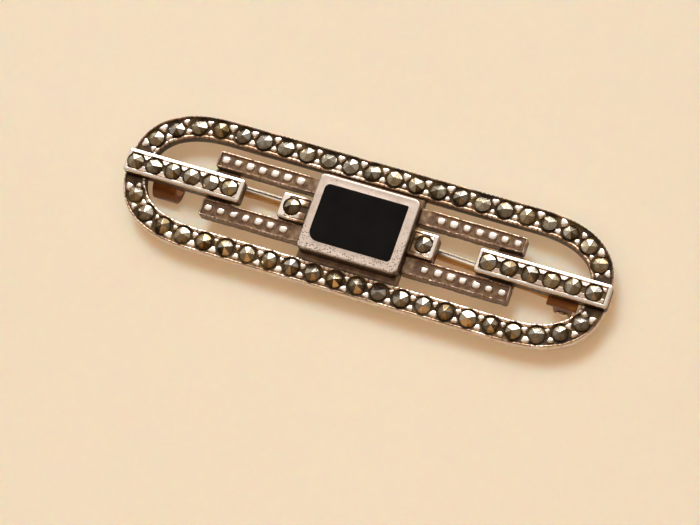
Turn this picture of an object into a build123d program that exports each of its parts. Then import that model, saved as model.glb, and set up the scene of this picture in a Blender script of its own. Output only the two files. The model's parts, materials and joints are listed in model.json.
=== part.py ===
from build123d import *
import math
import os

# A bar brooch in silver, set with marcasites round a flush onyx, with a hinged stem and a hook
# catch on its back.
#
# Frame of the model: the origin is on the surface that the brooch lies on, under the middle of
# its outline. X runs along the brooch towards the hinge, Y across it, and Z up out of its face.
# Heights named "above the back" are counted from the plane of the frame's back face.

os.makedirs("parts", exist_ok=True)

# ---------------------------------------------------------------- driving dimensions, mm
# Outer frame: a long loop with straight sides and full, superelliptic ends
FRAME_STRAIGHT_HALF = 14.0
FRAME_OUTER_REACH = 8.45
FRAME_OUTER_HALF_WIDTH = 6.2
FRAME_INNER_REACH = 6.5
FRAME_INNER_HALF_WIDTH = 4.17
FRAME_FULLNESS = 2.5
FRAME_HEIGHT = 1.25
RIM_WIDTH = 0.3
CHANNEL_DEPTH = 0.2

# Marcasites: round stones with six facets rising to a point
STONE_RADIUS = 0.72
STONE_GIRDLE = 0.16
STONE_CROWN = 0.42
STONE_TIP_RADIUS = 0.05
SEAT_DEPTH = 0.3
SEAT_CLEARANCE = 0.02
FRAME_STONES_PER_SIDE = 22
FRAME_STONE_FIRST_Y = 2.72

# End bars: narrow boxes let into the frame's ends, standing above it
END_BAR_WIDTH = 2.2
END_BAR_OUTER_X = 22.55
END_BAR_INNER_X = {"left": 11.47, "right": 10.48}
END_BAR_BOTTOM = 0.6
END_BAR_TOP = 2.0
END_BAR_CORNER = 0.28
END_STONES = 6
END_STONE_OUTER_X = {"left": 21.66, "right": 21.13}
END_STONE_INNER_X = {"left": 12.67, "right": 11.51}

# Beaded bars beside the long axis, and the strips that join their outer ends
BEADED_OUTER_X = {"left": 14.77, "right": 14.08}
BEADED_Y_RANGE = {"upper": (1.75, 3.35), "lower": (-2.95, -1.25)}
BEADED_RIM = 0.2
BEADED_RECESS = 0.15
GRAIN_RADIUS = 0.27
GRAIN_PITCH = 1.18
GRAIN_FIRST_INSET = 0.72
GRAINS_PER_BAR = 7
CROSS_STRIP_LENGTH = 2.3

# Centre: base plate between the frame's sides, box bezel, onyx
BEZEL_LENGTH = 9.35
BEZEL_WIDTH = 7.14
BEZEL_CENTRE_X = -0.4
BEZEL_TOP = 2.4
BEZEL_CORNER = 0.75
BASE_PLATE_HEIGHT = 1.0
ONYX_LENGTH = 7.7
ONYX_WIDTH = 5.36
ONYX_SHIFT_X = -0.1
ONYX_SHIFT_Y = 0.06
ONYX_CORNER = 0.75
ONYX_GAP = 0.01
ONYX_TOP = 2.38

# Stone plates on the long axis, one against each short side of the bezel
PLATE_LENGTH = {"left": 2.8, "right": 2.42}
PLATE_Y_RANGE = (-1.2, 1.15)
PLATE_TOP = 1.75
PLATE_CORNER = 0.25
PLATE_STONE_INSET = {"left": 1.71, "right": 1.29}

# Hinge on the back of the right end bar
HINGE_X = 18.6
HINGE_Y = -0.45
HINGE_DROP = 1.25
BRACKET_LENGTH = 2.7
BRACKET_PLATE = 0.4
EAR_THICKNESS = 0.5
EAR_RADIUS = 0.8
BARREL_RADIUS = 0.72
BARREL_LENGTH = 1.5
BARREL_SIDE_GAP = 0.05
RIVET_RADIUS = 0.35
RIVET_RUNNING_CLEARANCE = 0.05
RIVET_HEAD_RADIUS = 0.56
RIVET_HEAD_HEIGHT = 0.2

# Stem: round wire, bent a little sideways at its middle, then tapering to a point
STEM_RADIUS = 0.475
STEM_MIDDLE = (0.0, 0.66)
STEM_TAPER_START = (-15.5, 1.08)
STEM_TAPER_LENGTH = 5.8
STEM_POINT_RADIUS = 0.07

# Catch: a strip curled into a hook, open towards +Y
CATCH_X = -18.8
CATCH_Y = -0.25
CATCH_LENGTH = 2.2
CATCH_OUTER_RADIUS = 1.65
CATCH_SHEET = 0.5
CATCH_LIP_ANGLE = 298.0
CATCH_FOOT_REACH = 1.2

# ---------------------------------------------------------------- derived heights and places
CATCH_AXIS = END_BAR_BOTTOM - CATCH_OUTER_RADIUS
BACK_Z = CATCH_OUTER_RADIUS - CATCH_AXIS
SIDE_SIGN = {"left": -1, "right": 1}
BEZEL_LEFT_X = BEZEL_CENTRE_X - BEZEL_LENGTH / 2
BEZEL_RIGHT_X = BEZEL_CENTRE_X + BEZEL_LENGTH / 2
BEZEL_SIDE_X = {"left": BEZEL_LEFT_X, "right": BEZEL_RIGHT_X}
SEAT_RADIUS = STONE_RADIUS + SEAT_CLEARANCE
CHANNEL_FLOOR = FRAME_HEIGHT - CHANNEL_DEPTH


def at_height(above_back):
    """The horizontal plane at a height above the frame's back face."""
    return Plane.XY.offset(BACK_Z + above_back)


# ---------------------------------------------------------------- frame geometry
def end_point(reach, half_width, degrees):
    """A point on a superelliptic end, 0 degrees at its tip and 90 where the side begins."""
    power = 2 / FRAME_FULLNESS
    c = max(math.cos(math.radians(degrees)), 0.0)
    s = math.sin(math.radians(degrees))
    x = FRAME_STRAIGHT_HALF + reach * c**power
    y = half_width * math.copysign(abs(s) ** power, s)
    return x, y


def loop_face(reach, half_width):
    """A loop with the frame's shape, as a face on the XY plane."""
    steps = [-90 + 15 * i for i in range(13)]
    right = [end_point(reach, half_width, a) for a in steps]
    left = [(-x, -y) for x, y in right]
    with BuildSketch() as loop:
        with BuildLine():
            Spline(*right, tangents=[(1, 0), (-1, 0)])
            Line(right[-1], left[0])
            Spline(*left, tangents=[(-1, 0), (1, 0)])
            Line(left[-1], right[0])
        make_face()
    return loop.sketch


def rail_stone_points():
    """Centres of the upper side's stones, evenly spaced along the band's middle line."""
    reach = (FRAME_OUTER_REACH + FRAME_INNER_REACH) / 2
    half_width = (FRAME_OUTER_HALF_WIDTH + FRAME_INNER_HALF_WIDTH) / 2
    fine = [end_point(reach, half_width, 0.25 * i) for i in range(361)]
    quarter = [(x, y) for x, y in fine if y >= FRAME_STONE_FIRST_Y]
    path = quarter + [(-x, y) for x, y in reversed(quarter)]
    run = [0.0]
    for a, b in zip(path, path[1:]):
        run.append(run[-1] + math.dist(a, b))
    points = []
    for i in range(FRAME_STONES_PER_SIDE):
        wanted = run[-1] * i / (FRAME_STONES_PER_SIDE - 1)
        k = max(j for j in range(len(run) - 1) if run[j] <= wanted)
        part = (wanted - run[k]) / (run[k + 1] - run[k])
        a, b = path[k], path[k + 1]
        points.append((a[0] + (b[0] - a[0]) * part, a[1] + (b[1] - a[1]) * part))
    return points


def end_stone_points(side):
    """Centres of one end bar's stones."""
    outer = END_STONE_OUTER_X[side]
    inner = END_STONE_INNER_X[side]
    pitch = (outer - inner) / (END_STONES - 1)
    return [(SIDE_SIGN[side] * (outer - pitch * i), 0.0) for i in range(END_STONES)]


def plate_stone_point(side):
    """Centre of one plate's stone."""
    return (BEZEL_SIDE_X[side] + SIDE_SIGN[side] * PLATE_STONE_INSET[side], 0.0)


UPPER_STONES = rail_stone_points()
LOWER_STONES = [(x, -y) for x, y in UPPER_STONES]


def seat_plugs(points, channel_floor):
    """The round plugs to cut away for stone seats, through a channel's rims and its floor."""
    with BuildPart() as plugs:
        with BuildSketch(at_height(channel_floor - SEAT_DEPTH)):
            with Locations(*points):
                Circle(SEAT_RADIUS)
        extrude(amount=SEAT_DEPTH + CHANNEL_DEPTH)
    return plugs.part


def stone_group(points, channel_floor):
    """Stones standing in their seats: a round girdle and a crown of six facets."""
    seat_bottom = channel_floor - SEAT_DEPTH
    girdle_top = channel_floor + STONE_GIRDLE / 2
    taper = math.degrees(math.atan((STONE_RADIUS - STONE_TIP_RADIUS) / STONE_CROWN))
    with BuildPart() as stones:
        with BuildSketch(at_height(seat_bottom)):
            with Locations(*points):
                Circle(STONE_RADIUS)
        extrude(amount=girdle_top - seat_bottom)
        with BuildSketch(at_height(girdle_top)):
            with Locations(*points):
                RegularPolygon(radius=STONE_RADIUS, side_count=6)
        extrude(amount=STONE_CROWN, taper=taper)
    return stones


# ---------------------------------------------------------------- outer frame
with BuildPart() as frame_rail:
    with BuildSketch(at_height(0)):
        add(loop_face(FRAME_OUTER_REACH, FRAME_OUTER_HALF_WIDTH))
        add(loop_face(FRAME_INNER_REACH, FRAME_INNER_HALF_WIDTH), mode=Mode.SUBTRACT)
    extrude(amount=FRAME_HEIGHT)
    # The channel that the stones stand in, between two rims
    with BuildSketch(at_height(CHANNEL_FLOOR)):
        add(loop_face(FRAME_OUTER_REACH - RIM_WIDTH, FRAME_OUTER_HALF_WIDTH - RIM_WIDTH))
        add(
            loop_face(FRAME_INNER_REACH + RIM_WIDTH, FRAME_INNER_HALF_WIDTH + RIM_WIDTH),
            mode=Mode.SUBTRACT,
        )
    extrude(amount=CHANNEL_DEPTH, mode=Mode.SUBTRACT)
    add(seat_plugs(UPPER_STONES + LOWER_STONES, CHANNEL_FLOOR), mode=Mode.SUBTRACT)
    # Notches that the end bars drop into
    with BuildSketch(at_height(END_BAR_BOTTOM)):
        Rectangle(2 * END_BAR_OUTER_X + 1, END_BAR_WIDTH)
    extrude(amount=FRAME_HEIGHT, mode=Mode.SUBTRACT)
frame_rail.part.label = "frame_rail"
export_step(frame_rail.part, "parts/frame_rail.step")

upper_marcasites = stone_group(UPPER_STONES, CHANNEL_FLOOR)
upper_marcasites.part.label = "upper_frame_marcasites"
export_step(upper_marcasites.part, "parts/upper_frame_marcasites.step")

lower_marcasites = stone_group(LOWER_STONES, CHANNEL_FLOOR)
lower_marcasites.part.label = "lower_frame_marcasites"
export_step(lower_marcasites.part, "parts/lower_frame_marcasites.step")


# ---------------------------------------------------------------- end bars
def rimmed_box(x_range, y_range, bottom, top, rim, recess, corner, seats):
    """A box with rounded upright corners, a sunk top inside a plain rim, and stone seats."""
    length = x_range[1] - x_range[0]
    width = y_range[1] - y_range[0]
    middle = ((x_range[0] + x_range[1]) / 2, (y_range[0] + y_range[1]) / 2)
    with BuildPart() as box:
        with BuildSketch(at_height(bottom)):
            with Locations(middle):
                RectangleRounded(length, width, corner)
        extrude(amount=top - bottom)
        with BuildSketch(at_height(top)):
            with Locations(middle):
                Rectangle(length - 2 * rim, width - 2 * rim)
        extrude(amount=-recess, mode=Mode.SUBTRACT)
        add(seat_plugs(seats, top - recess), mode=Mode.SUBTRACT)
    return box


for side in ("left", "right"):
    inner_x = SIDE_SIGN[side] * END_BAR_INNER_X[side]
    outer_x = SIDE_SIGN[side] * END_BAR_OUTER_X
    end_bar = rimmed_box(
        (min(inner_x, outer_x), max(inner_x, outer_x)),
        (-END_BAR_WIDTH / 2, END_BAR_WIDTH / 2),
        END_BAR_BOTTOM,
        END_BAR_TOP,
        RIM_WIDTH,
        CHANNEL_DEPTH,
        END_BAR_CORNER,
        end_stone_points(side),
    )
    end_bar.part.label = f"{side}_end_bar"
    export_step(end_bar.part, f"parts/{side}_end_bar.step")

    end_marcasites = stone_group(end_stone_points(side), END_BAR_TOP - CHANNEL_DEPTH)
    end_marcasites.part.label = f"{side}_bar_marcasites"
    export_step(end_marcasites.part, f"parts/{side}_bar_marcasites.step")


# ---------------------------------------------------------------- beaded bars and cross strips
def beaded_bar(side, level):
    """A bar from the bezel outwards, with a thin rim and a row of grains along its top."""
    outer_x = SIDE_SIGN[side] * BEADED_OUTER_X[side]
    inner_x = BEZEL_SIDE_X[side]
    y_low, y_high = BEADED_Y_RANGE[level]
    length = abs(outer_x - inner_x)
    middle = ((outer_x + inner_x) / 2, (y_low + y_high) / 2)
    first_x = outer_x - SIDE_SIGN[side] * GRAIN_FIRST_INSET
    grain_z = BACK_Z + FRAME_HEIGHT - BEADED_RECESS - GRAIN_RADIUS / 3
    grains = [
        (first_x - SIDE_SIGN[side] * GRAIN_PITCH * i, middle[1], grain_z)
        for i in range(GRAINS_PER_BAR)
    ]
    with BuildPart() as bar:
        with BuildSketch(at_height(0)):
            with Locations(middle):
                Rectangle(length, y_high - y_low)
        extrude(amount=FRAME_HEIGHT)
        with BuildSketch(at_height(FRAME_HEIGHT)):
            with Locations(middle):
                Rectangle(length - 2 * BEADED_RIM, y_high - y_low - 2 * BEADED_RIM)
        extrude(amount=-BEADED_RECESS, mode=Mode.SUBTRACT)
        with Locations(*grains):
            Sphere(GRAIN_RADIUS)
    return bar


for side in ("left", "right"):
    for level in ("upper", "lower"):
        bar = beaded_bar(side, level)
        bar.part.label = f"{level}_{side}_beaded_bar"
        export_step(bar.part, f"parts/{level}_{side}_beaded_bar.step")

    strip_outer_x = SIDE_SIGN[side] * BEADED_OUTER_X[side]
    strip_mid_x = strip_outer_x - SIDE_SIGN[side] * CROSS_STRIP_LENGTH / 2
    strip_low = BEADED_Y_RANGE["lower"][1]
    strip_high = BEADED_Y_RANGE["upper"][0]
    with BuildPart() as cross_strip:
        with BuildSketch(at_height(0)):
            with Locations((strip_mid_x, (strip_low + strip_high) / 2)):
                Rectangle(CROSS_STRIP_LENGTH, strip_high - strip_low)
        extrude(amount=END_BAR_BOTTOM)
    cross_strip.part.label = f"{side}_cross_strip"
    export_step(cross_strip.part, f"parts/{side}_cross_strip.step")

# ---------------------------------------------------------------- centre
with BuildPart() as base_plate:
    with BuildSketch(at_height(0)):
        with Locations((BEZEL_CENTRE_X, 0)):
            Rectangle(BEZEL_LENGTH, 2 * FRAME_INNER_HALF_WIDTH)
    extrude(amount=BASE_PLATE_HEIGHT)
base_plate.part.label = "base_plate"
export_step(base_plate.part, "parts/base_plate.step")

with BuildPart() as bezel:
    with BuildSketch(at_height(BASE_PLATE_HEIGHT)):
        with Locations((BEZEL_CENTRE_X, 0)):
            RectangleRounded(BEZEL_LENGTH, BEZEL_WIDTH, BEZEL_CORNER)
        with Locations((BEZEL_CENTRE_X + ONYX_SHIFT_X, ONYX_SHIFT_Y)):
            RectangleRounded(
                ONYX_LENGTH + 2 * ONYX_GAP,
                ONYX_WIDTH + 2 * ONYX_GAP,
                ONYX_CORNER,
                mode=Mode.SUBTRACT,
            )
    extrude(amount=BEZEL_TOP - BASE_PLATE_HEIGHT)
bezel.part.label = "centre_bezel"
export_step(bezel.part, "parts/centre_bezel.step")

with BuildPart() as onyx:
    with BuildSketch(at_height(BASE_PLATE_HEIGHT)):
        with Locations((BEZEL_CENTRE_X + ONYX_SHIFT_X, ONYX_SHIFT_Y)):
            RectangleRounded(ONYX_LENGTH, ONYX_WIDTH, ONYX_CORNER)
    extrude(amount=ONYX_TOP - BASE_PLATE_HEIGHT)
onyx.part.label = "onyx"
export_step(onyx.part, "parts/onyx.step")

for side in ("left", "right"):
    plate_inner_x = BEZEL_SIDE_X[side]
    plate_outer_x = plate_inner_x + SIDE_SIGN[side] * PLATE_LENGTH[side]
    stone_plate = rimmed_box(
        (min(plate_inner_x, plate_outer_x), max(plate_inner_x, plate_outer_x)),
        PLATE_Y_RANGE,
        0,
        PLATE_TOP,
        RIM_WIDTH,
        CHANNEL_DEPTH,
        PLATE_CORNER,
        [plate_stone_point(side)],
    )
    stone_plate.part.label = f"{side}_stone_plate"
    export_step(stone_plate.part, f"parts/{side}_stone_plate.step")

    plate_marcasite = stone_group([plate_stone_point(side)], PLATE_TOP - CHANNEL_DEPTH)
    plate_marcasite.part.label = f"{side}_plate_marcasite"
    export_step(plate_marcasite.part, f"parts/{side}_plate_marcasite.step")

# ---------------------------------------------------------------- hinge
EAR_GAP = BARREL_LENGTH + 2 * BARREL_SIDE_GAP
BRACKET_WIDTH = EAR_GAP + 2 * EAR_THICKNESS
HINGE_Z = BACK_Z - HINGE_DROP
hinge_side = Plane(origin=(HINGE_X, HINGE_Y, HINGE_Z), x_dir=(1, 0, 0), z_dir=(0, -1, 0))

with BuildPart() as hinge_bracket:
    ear_height = HINGE_DROP + END_BAR_BOTTOM
    with BuildSketch(hinge_side.offset(-BRACKET_WIDTH / 2)):
        with Locations((0, ear_height / 2)):
            Rectangle(2 * EAR_RADIUS, ear_height)
        Circle(EAR_RADIUS)
        with Locations((0, ear_height - BRACKET_PLATE / 2)):
            Rectangle(BRACKET_LENGTH, BRACKET_PLATE)
        Circle(RIVET_RADIUS, mode=Mode.SUBTRACT)
    extrude(amount=BRACKET_WIDTH)
    with BuildSketch(hinge_side.offset(-EAR_GAP / 2)):
        with Locations((0, (ear_height - BRACKET_PLATE) / 2 - EAR_RADIUS)):
            Rectangle(BRACKET_LENGTH, ear_height - BRACKET_PLATE + 2 * EAR_RADIUS)
    extrude(amount=EAR_GAP, mode=Mode.SUBTRACT)
hinge_bracket.part.label = "hinge_bracket"
export_step(hinge_bracket.part, "parts/hinge_bracket.step")

with BuildPart() as hinge_rivet:
    with BuildSketch(hinge_side.offset(-BRACKET_WIDTH / 2)):
        Circle(RIVET_RADIUS)
    extrude(amount=BRACKET_WIDTH)
    for direction in (-1, 1):
        with BuildSketch(hinge_side.offset(direction * BRACKET_WIDTH / 2)):
            Circle(RIVET_HEAD_RADIUS)
        extrude(amount=direction * RIVET_HEAD_HEIGHT)
    chamfer(hinge_rivet.edges().group_by(Axis.Y)[0], RIVET_HEAD_HEIGHT / 2)
    chamfer(hinge_rivet.edges().group_by(Axis.Y)[-1], RIVET_HEAD_HEIGHT / 2)
hinge_rivet.part.label = "hinge_rivet"
export_step(hinge_rivet.part, "parts/hinge_rivet.step")

# ---------------------------------------------------------------- stem
stem_points = [
    Vector(x, y, HINGE_Z) for x, y in ((HINGE_X, HINGE_Y), STEM_MIDDLE, STEM_TAPER_START)
]

with BuildPart() as pin_stem:
    for start, end in zip(stem_points, stem_points[1:]):
        with BuildSketch(Plane(origin=start, z_dir=end - start)):
            Circle(STEM_RADIUS)
        extrude(amount=(end - start).length)
    with Locations(stem_points[1]):
        Sphere(STEM_RADIUS)
    with Locations(Plane(origin=stem_points[2], z_dir=stem_points[2] - stem_points[1])):
        Cone(
            STEM_RADIUS,
            STEM_POINT_RADIUS,
            STEM_TAPER_LENGTH,
            align=(Align.CENTER, Align.CENTER, Align.MIN),
        )
    with BuildSketch(hinge_side.offset(-BARREL_LENGTH / 2)):
        Circle(BARREL_RADIUS)
    extrude(amount=BARREL_LENGTH)
    with BuildSketch(hinge_side.offset(-BARREL_LENGTH / 2)):
        Circle(RIVET_RADIUS + RIVET_RUNNING_CLEARANCE)
    extrude(amount=BARREL_LENGTH, mode=Mode.SUBTRACT)
pin_stem.part.label = "pin_stem"
export_step(pin_stem.part, "parts/pin_stem.step")

# ---------------------------------------------------------------- catch
catch_side = Plane(
    origin=(CATCH_X, CATCH_Y, BACK_Z + CATCH_AXIS),
    x_dir=(0, 1, 0),
    z_dir=(1, 0, 0),
)
CATCH_INNER_RADIUS = CATCH_OUTER_RADIUS - CATCH_SHEET


def on_circle(radius, degrees):
    """A point of the hook's profile, 0 degrees towards +Y."""
    return radius * math.cos(math.radians(degrees)), radius * math.sin(math.radians(degrees))


with BuildPart() as catch_hook:
    with BuildSketch(catch_side.offset(-CATCH_LENGTH / 2)):
        with BuildLine():
            CenterArc((0, 0), CATCH_OUTER_RADIUS, 90, CATCH_LIP_ANGLE - 90)
            CenterArc((0, 0), CATCH_INNER_RADIUS, 90, CATCH_LIP_ANGLE - 90)
            Line(
                on_circle(CATCH_OUTER_RADIUS, CATCH_LIP_ANGLE),
                on_circle(CATCH_INNER_RADIUS, CATCH_LIP_ANGLE),
            )
            Line((0, CATCH_INNER_RADIUS), (CATCH_FOOT_REACH, CATCH_INNER_RADIUS))
            Line((CATCH_FOOT_REACH, CATCH_INNER_RADIUS), (CATCH_FOOT_REACH, CATCH_OUTER_RADIUS))
            Line((CATCH_FOOT_REACH, CATCH_OUTER_RADIUS), (0, CATCH_OUTER_RADIUS))
        make_face()
    extrude(amount=CATCH_LENGTH)
catch_hook.part.label = "catch_hook"
export_step(catch_hook.part, "parts/catch_hook.step")
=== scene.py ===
import json
import math
import random

import bmesh
import bpy
import numpy as np
from mathutils import Matrix, Vector


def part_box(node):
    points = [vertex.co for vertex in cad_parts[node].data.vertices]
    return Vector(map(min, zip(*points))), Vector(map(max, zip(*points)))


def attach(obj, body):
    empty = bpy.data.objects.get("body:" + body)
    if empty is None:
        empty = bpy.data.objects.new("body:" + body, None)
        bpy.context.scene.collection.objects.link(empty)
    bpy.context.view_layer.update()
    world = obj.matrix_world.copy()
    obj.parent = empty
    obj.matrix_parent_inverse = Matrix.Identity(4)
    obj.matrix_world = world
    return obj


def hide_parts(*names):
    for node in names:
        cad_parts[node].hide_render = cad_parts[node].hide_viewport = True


# The looks of a marcasite and onyx bar brooch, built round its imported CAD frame. Lengths are
# millimetres in the CAD frame until a mesh is made. The floor and the lights are in metres.

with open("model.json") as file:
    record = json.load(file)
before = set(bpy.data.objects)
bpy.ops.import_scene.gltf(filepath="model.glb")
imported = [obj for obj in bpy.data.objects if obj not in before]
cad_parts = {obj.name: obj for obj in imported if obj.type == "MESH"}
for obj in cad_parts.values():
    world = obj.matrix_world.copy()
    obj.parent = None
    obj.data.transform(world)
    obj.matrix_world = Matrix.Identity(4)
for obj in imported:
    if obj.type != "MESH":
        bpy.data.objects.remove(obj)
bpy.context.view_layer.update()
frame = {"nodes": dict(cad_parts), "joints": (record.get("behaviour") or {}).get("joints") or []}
MM = 0.001
rng = random.Random(20)


def box_mm(node):
    """A CAD node's lowest and highest corners, in millimetres."""
    low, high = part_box(node)
    return np.array(low) / MM, np.array(high) / MM


# ------------ measures of the CAD parts
RAIL_LOW, RAIL_HIGH = box_mm("frame_rail")
BACK_Z = RAIL_LOW[2]
RAIL_HEIGHT = RAIL_HIGH[2] - RAIL_LOW[2]
OUTER_HALF_WIDTH = RAIL_HIGH[1]
INNER_HALF_WIDTH = 4.17
STRAIGHT_HALF = 14.0  # half the length of the frame's straight sides
OUTER_REACH = 8.45  # how far the frame's round ends go past the straight sides
INNER_REACH = 6.5
FULLNESS = 2.5  # the power of the ends' superellipse
CHANNEL = 0.2  # depth of the stones' beds
FRAME_FLOOR = BACK_Z + RAIL_HEIGHT - CHANNEL
STONE_R = 0.72
GIRDLE = 0.08  # from the bed up to a stone's widest line
CROWN = 0.42  # from there up to its point


# ------------ node materials
class Kit:
    """A node tree, with the few kinds of node that the materials and the sky are made of. Values
    are sockets or numbers."""

    def __init__(self, tree):
        self.nodes = tree.nodes
        self.links = tree.links

    def feed(self, value, socket):
        """Links a socket, or sets a number."""
        if isinstance(value, (int, float)):
            socket.default_value = value
        else:
            self.links.new(value, socket)

    def attribute(self, name):
        """The value that the mesh carries under this name."""
        node = self.nodes.new("ShaderNodeAttribute")
        node.attribute_name = name
        return node.outputs["Fac"]

    def noise(self, where, size_mm, detail, rough, stretch=None):
        """A noise value whose features are about size_mm across."""
        if stretch is not None:
            mapping = self.nodes.new("ShaderNodeMapping")
            mapping.inputs["Scale"].default_value = stretch
            self.feed(where, mapping.inputs["Vector"])
            where = mapping.outputs["Vector"]
        node = self.nodes.new("ShaderNodeTexNoise")
        node.inputs["Scale"].default_value = 1.0 / (size_mm * MM)
        node.inputs["Detail"].default_value = detail
        node.inputs["Roughness"].default_value = rough
        self.feed(where, node.inputs["Vector"])
        return node.outputs["Fac"]

    def ramp(self, value, stops):
        """A ramp through (position, colour) stops. A single number stands for a grey."""
        node = self.nodes.new("ShaderNodeValToRGB")
        elements = node.color_ramp.elements
        while len(elements) < len(stops):
            elements.new(0.5)
        for element, (place, colour) in zip(elements, stops):
            element.position = place
            element.color = (*colour, 1.0) if isinstance(colour, tuple) else (colour, colour, colour, 1.0)
        self.feed(value, node.inputs["Fac"])
        return node.outputs["Color"]

    def math(self, operation, a, b, clamp=False):
        """One step of arithmetic."""
        node = self.nodes.new("ShaderNodeMath")
        node.operation = operation
        node.use_clamp = clamp
        self.feed(a, node.inputs[0])
        self.feed(b, node.inputs[1])
        return node.outputs[0]

    def swing(self, value, middle, amount):
        """How far a value is from its middle, times an amount."""
        return self.math("MULTIPLY", self.math("SUBTRACT", value, middle), amount)

    def mix(self, factor, a, b, blend="MIX"):
        """Two colours mixed by a factor."""
        node = self.nodes.new("ShaderNodeMix")
        node.data_type = "RGBA"
        node.blend_type = blend
        self.feed(factor, node.inputs["Factor"])
        self.feed(a, node.inputs["A"])
        self.feed(b, node.inputs["B"])
        return node.outputs["Result"]

    def bump(self, parts):
        """A normal from several heights, each with its depth in millimetres."""
        normal = None
        for height, depth_mm in parts:
            node = self.nodes.new("ShaderNodeBump")
            node.inputs["Strength"].default_value = 1.0
            node.inputs["Distance"].default_value = depth_mm * MM
            self.feed(height, node.inputs["Height"])
            if normal is not None:
                self.feed(normal, node.inputs["Normal"])
            normal = node.outputs["Normal"]
        return normal


def new_material(name):
    """A material with its kit of nodes, its shader's inputs and an object-space coordinate."""
    mat = bpy.data.materials.new(name)
    mat.use_nodes = True
    kit = Kit(mat.node_tree)
    shader = kit.nodes["Principled BSDF"].inputs
    where = kit.nodes.new("ShaderNodeTexCoord").outputs["Object"]
    return mat, kit, shader, where


def silver(name, bright, mid, dark, stain, rough, patch):
    """Old silver. The mesh's tarnish_and_shading value, broken up by noise, runs from polish to oxide,
    which is dark brown, and golden in blotches. On some parts the value also holds painted shade and
    painted highlights."""
    mat, kit, shader, where = new_material(name)
    coarse = kit.noise(where, 0.5, 5.0, 0.6)
    fine = kit.noise(where, 0.12, 4.0, 0.65)
    tarnish_and_shading = kit.math("ADD", kit.attribute("tarnish_and_shading"), kit.swing(coarse, 0.5, patch * 2))
    tarnish_and_shading = kit.math("ADD", tarnish_and_shading, kit.swing(fine, 0.5, patch * 1.5), clamp=True)
    clean = [(0.0, bright), (0.14, bright), (0.42, mid)]
    brown = kit.ramp(tarnish_and_shading, clean + [(0.85, dark), (1.0, dark)])
    golden = kit.ramp(tarnish_and_shading, clean + [(0.85, stain), (1.0, stain)])
    blotches = kit.ramp(kit.noise(where, 1.3, 3.0, 0.55), [(0.0, 0.0), (0.47, 0.0), (0.66, 1.0)])
    kit.feed(kit.mix(blotches, brown, golden), shader["Base Color"])
    kit.feed(kit.ramp(tarnish_and_shading, [(0.0, 1.0), (0.6, 0.95), (1.0, 0.55)]), shader["Metallic"])
    wear = kit.noise(where, 0.25, 5.0, 0.7)
    roughness = kit.ramp(tarnish_and_shading, [(0.0, rough[0]), (1.0, rough[1])])
    kit.feed(kit.math("ADD", roughness, kit.swing(wear, 0.5, 0.25), clamp=True), shader["Roughness"])
    scratches = kit.noise(where, 0.05, 3.0, 0.6, stretch=(0.18, 1.0, 1.0))
    dents = kit.noise(where, 0.24, 4.0, 0.6)
    kit.feed(kit.bump([(dents, 0.006), (scratches, 0.0012)]), shader["Normal"])
    return mat


def bezel_silver(name):
    """The bezel's silver: matt, pinkish, with fine dark pits that crowd its lower corners."""
    mat, kit, shader, where = new_material(name)
    specks = kit.nodes.new("ShaderNodeTexVoronoi")
    specks.feature = "F1"
    specks.inputs["Scale"].default_value = 1.0 / (0.16 * MM)
    kit.feed(where, specks.inputs["Vector"])
    pit_shape = kit.ramp(specks.outputs["Distance"], [(0.0, 1.0), (0.26, 1.0), (0.4, 0.0)])
    crowd = kit.noise(where, 0.9, 3.0, 0.7)
    crowd = kit.math("ADD", crowd, kit.math("MULTIPLY", kit.attribute("pitting"), 0.42))
    pits = kit.math("MULTIPLY", pit_shape, kit.ramp(crowd, [(0.0, 0.0), (0.58, 0.0), (0.7, 1.0)]))
    tiny_pits = kit.ramp(kit.noise(where, 0.07, 2.0, 0.5), [(0.0, 1.0), (0.3, 0.75), (0.4, 0.0)])
    pits = kit.math("MAXIMUM", pits, kit.math("MULTIPLY", tiny_pits, 0.5))
    cloud = kit.noise(where, 1.1, 4.0, 0.6)
    tarnish_and_shading = kit.math("ADD", kit.attribute("tarnish_and_shading"), kit.math("MULTIPLY", pits, 0.85))
    tarnish_and_shading = kit.math("ADD", tarnish_and_shading, kit.swing(cloud, 0.42, 0.7), clamp=True)
    clean, worn, sunk = (0.53, 0.445, 0.39), (0.29, 0.22, 0.175), (0.04, 0.024, 0.015)
    kit.feed(kit.ramp(tarnish_and_shading, [(0.0, clean), (0.4, worn), (1.0, sunk)]), shader["Base Color"])
    shader["Metallic"].default_value = 0.9
    kit.feed(kit.ramp(cloud, [(0.2, 0.36), (0.8, 0.5)]), shader["Roughness"])
    matt = kit.noise(where, 0.05, 3.0, 0.6)
    kit.feed(kit.bump([(kit.math("SUBTRACT", 1.0, pits), 0.01), (matt, 0.003)]), shader["Normal"])
    return mat


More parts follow.
